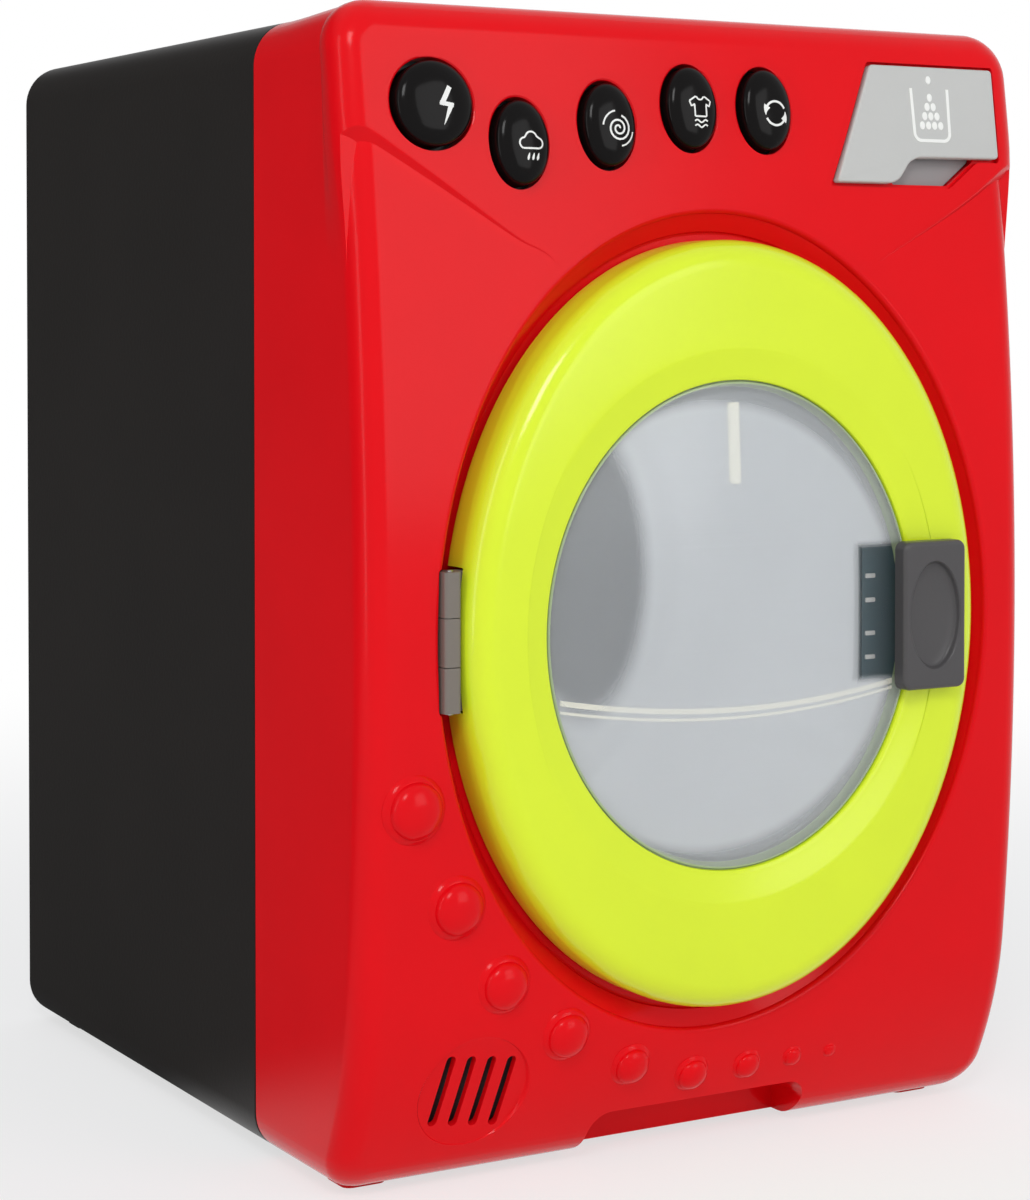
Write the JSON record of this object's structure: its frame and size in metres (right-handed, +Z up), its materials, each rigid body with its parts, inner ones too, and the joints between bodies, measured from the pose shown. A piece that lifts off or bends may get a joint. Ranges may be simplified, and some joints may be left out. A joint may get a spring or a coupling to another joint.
{
  "type": "toy washing machine",
  "caption": "Front-loading toy washing machine: hinged round door with a domed window and sliding latch, push buttons, detergent drawer, and a geared drum driven by a battery motor.",
  "frame": {"origin": "bottom centre of the bounding box, on the floor under the feet", "axes": "+Z up; the front with the door faces -Y; +X to the right seen from the front"},
  "size_m": [0.1762, 0.204, 0.2505],
  "materials": {
    "red_plastic": "glossy moulded red",
    "dark_plastic": "semi-gloss moulded black",
    "lime_plastic": "glossy moulded lime",
    "smoky_window": "clear smoky plastic",
    "grey_plastic": "satin dark grey",
    "light_grey_plastic": "satin light grey",
    "hinge_grey_plastic": "satin grey",
    "black_button_plastic": "glossy black",
    "drum_white_plastic": "glossy pale grey",
    "steel": "bright steel",
    "bronze_bush": "machined",
    "silicone_rubber": "matt",
    "board_green": "lacquered circuit board",
    "battery_jacket": "printed film over a steel can",
    "speaker_cone": "matt black"
  },
  "bodies": {
    "casing": {"front_casing": "red_plastic", "rear_casing": "dark_plastic", "casing_screw_1": "steel", "casing_screw_2": "steel", "casing_screw_3": "steel", "casing_screw_4": "steel", "button_pad": "silicone_rubber", "control_board": "board_green", "board_screw_1": "steel", "board_screw_2": "steel", "speaker": "speaker_cone", "speaker_clamp": "grey_plastic", "speaker_screw_1": "steel", "speaker_screw_2": "steel", "drawer_housing": "grey_plastic", "hinge_bracket": "hinge_grey_plastic", "hinge_pin": "steel", "tub": "light_grey_plastic", "tub_rear": "light_grey_plastic", "drum_bearing": "bronze_bush", "tub_screw_1": "steel", "tub_screw_2": "steel", "tub_screw_3": "steel", "tub_screw_4": "steel", "motor": "steel", "motor_bracket": "grey_plastic", "battery_box": "dark_plastic", "battery_1": "battery_jacket", "battery_2": "battery_jacket", "battery_3": "battery_jacket", "battery_contact_lower": "steel", "battery_contact_upper": "steel"},
    "door": {"door_ring": "lime_plastic", "door_window": "smoky_window", "door_retainer": "light_grey_plastic", "door_screw_1": "steel", "door_screw_2": "steel", "door_screw_3": "steel", "door_screw_4": "steel", "door_hinge_leaf": "hinge_grey_plastic", "latch_housing": "grey_plastic", "latch_spring": "steel"},
    "latch": {"latch_handle": "grey_plastic", "latch_bolt": "grey_plastic"},
    "power_button": {"button_power": "black_button_plastic"},
    "rinse_button": {"button_rinse": "black_button_plastic"},
    "spin_button": {"button_spin": "black_button_plastic"},
    "dry_button": {"button_dry": "black_button_plastic"},
    "cycle_button": {"button_cycle": "black_button_plastic"},
    "drawer": {"detergent_drawer": "light_grey_plastic"},
    "drum_unit": {"drum": "drum_white_plastic", "drum_shaft": "steel", "drum_gear": "light_grey_plastic", "shaft_clip": "steel"},
    "motor_rotor": {"motor_shaft": "steel", "motor_pinion": "bronze_bush"},
    "battery_door": {"battery_cover": "dark_plastic", "battery_cover_screw": "steel"}
  },
  "joints": [
    {"name": "door_swing", "type": "hinge", "parent": "casing", "child": "door", "pos_m": [-0.066, -0.0925, 0.1175], "axis": [0, 0, -1], "range_deg": [0, 110]},
    {"name": "latch_slide", "type": "slide", "parent": "door", "child": "latch", "axis": [-1, 0, 0], "range_m": [0, 0.003], "stiffness_N_per_m": 300, "springref_m": -0.001},
    {"name": "power_press", "type": "slide", "parent": "casing", "child": "power_button", "axis": [0, 0.9909, -0.1348], "range_m": [0, 0.0015], "stiffness_N_per_m": 400, "springref_m": -0.0005},
    {"name": "rinse_press", "type": "slide", "parent": "casing", "child": "rinse_button", "axis": [0, 0.9909, -0.1348], "range_m": [0, 0.0015], "stiffness_N_per_m": 400, "springref_m": -0.0005},
    {"name": "spin_press", "type": "slide", "parent": "casing", "child": "spin_button", "axis": [0, 0.9909, -0.1348], "range_m": [0, 0.0015], "stiffness_N_per_m": 400, "springref_m": -0.0005},
    {"name": "dry_press", "type": "slide", "parent": "casing", "child": "dry_button", "axis": [0, 0.9909, -0.1348], "range_m": [0, 0.0015], "stiffness_N_per_m": 400, "springref_m": -0.0005},
    {"name": "cycle_press", "type": "slide", "parent": "casing", "child": "cycle_button", "axis": [0, 0.9909, -0.1348], "range_m": [0, 0.0015], "stiffness_N_per_m": 400, "springref_m": -0.0005},
    {"name": "drawer_slide", "type": "slide", "parent": "casing", "child": "drawer", "axis": [0, -1, 0], "range_m": [0, 0.028]},
    {"name": "drum_spin", "type": "hinge", "parent": "casing", "child": "drum_unit", "pos_m": [0.0025, 0.0327, 0.1175], "axis": [0, 1, 0], "continuous": true},
    {"name": "motor_spin", "type": "hinge", "parent": "casing", "child": "motor_rotor", "pos_m": [0.02902, 0.0465, 0.14402], "axis": [0, 1, 0], "continuous": true},
    {"name": "battery_cover_slide", "type": "slide", "parent": "casing", "child": "battery_door", "axis": [0, 1, 0], "range_m": [0, 0.025]}
  ],
  "couplings": [
    {"joint": "motor_spin", "follows": "drum_spin", "ratio": -4}
  ]
}
